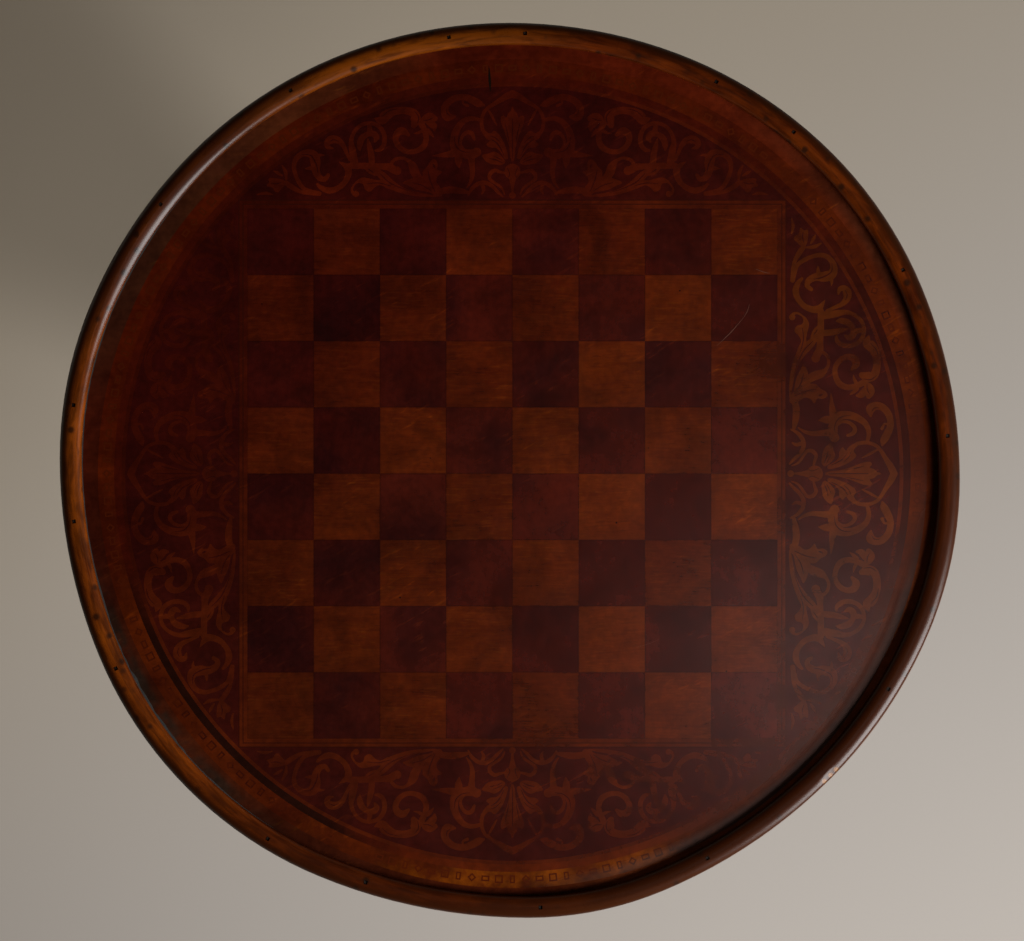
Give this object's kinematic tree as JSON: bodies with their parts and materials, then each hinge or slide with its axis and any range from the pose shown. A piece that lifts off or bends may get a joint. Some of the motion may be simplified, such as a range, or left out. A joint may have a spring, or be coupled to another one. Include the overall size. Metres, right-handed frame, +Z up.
{
  "type": "tilt-top chess table",
  "caption": "Round tilt-top games table on a turned pillar and cabriole tripod, with an inlaid chessboard inside a raised rim.",
  "frame": {"origin": "on the floor under the pillar's axis, at the middle of the overall width and depth", "axes": "+Z up; -Y towards the front of the table, where the catch is and where the top rises; +X to the right seen from the front; the chessboard's files run along Y"},
  "size_m": [0.6118, 0.6082, 0.72],
  "materials": {
    "mahogany_turned": "polished mahogany, worn on the turnings",
    "mahogany_leg": "polished mahogany, scuffed towards the feet",
    "mahogany_rim": "polished mahogany, rubbed on the crown",
    "mahogany_board": "planed mahogany, unpolished underneath",
    "mahogany_under": "planed mahogany, lightly stained",
    "light_wedge": "plain hardwood",
    "dark_veneer": "French-polished dark veneer",
    "light_veneer": "French-polished lighter mahogany veneer",
    "stringing": "polished light stringing, mellowed",
    "dark_line": "dyed dark line",
    "lunette_ground": "French-polished dark veneer",
    "band_veneer": "polished light band",
    "field_veneer": "polished mahogany veneer",
    "wrought_iron": "black wrought iron",
    "iron_screw": "dulled iron",
    "iron_brad": "blackened iron",
    "brass": "aged brass",
    "spring_steel": "dulled spring steel"
  },
  "bodies": {
    "base": {"pillar": "mahogany_turned", "leg_front": "mahogany_leg", "leg_back_right": "mahogany_leg", "leg_back_left": "mahogany_leg", "tripod_plate": "wrought_iron", "tripod_plate_screws": "iron_screw", "pivot_block": "mahogany_under", "tenon_wedge": "light_wedge", "keeper_plate": "brass", "keeper_screws": "brass"},
    "top": {"plank_front": "mahogany_board", "plank_middle": "mahogany_board", "plank_rear": "mahogany_board", "bearer_left": "mahogany_under", "bearer_right": "mahogany_under", "bearer_screws": "iron_screw", "rim_moulding": "mahogany_rim", "rim_brads": "iron_brad", "dark_squares": "dark_veneer", "light_squares": "light_veneer", "border_string_inner": "stringing", "border_line_inner": "dark_line", "border_string_outer": "stringing", "border_line_outer": "dark_line", "lunette_front": "lunette_ground", "lunette_right": "lunette_ground", "lunette_rear": "lunette_ground", "lunette_left": "lunette_ground", "circle_string": "stringing", "dark_ring": "dark_veneer", "ornament_band": "band_veneer", "outer_field": "field_veneer", "catch_case": "brass", "catch_case_screws": "brass", "catch_spring": "spring_steel"},
    "catch_bolt": {"catch_bolt": "brass", "catch_knob": "brass"}
  },
  "joints": [
    {"name": "top_tilt", "type": "hinge", "parent": "base", "child": "top", "pos_m": [0, 0.08, 0.6763], "axis": [-1, 0, 0], "range_deg": [0, 90]},
    {"name": "catch_bolt_slide", "type": "slide", "parent": "top", "child": "catch_bolt", "axis": [0, -1, 0], "range_m": [0, 0.009], "stiffness_N_per_m": 250, "springref_m": -0.006, "deforming": ["catch_spring"]}
  ]
}
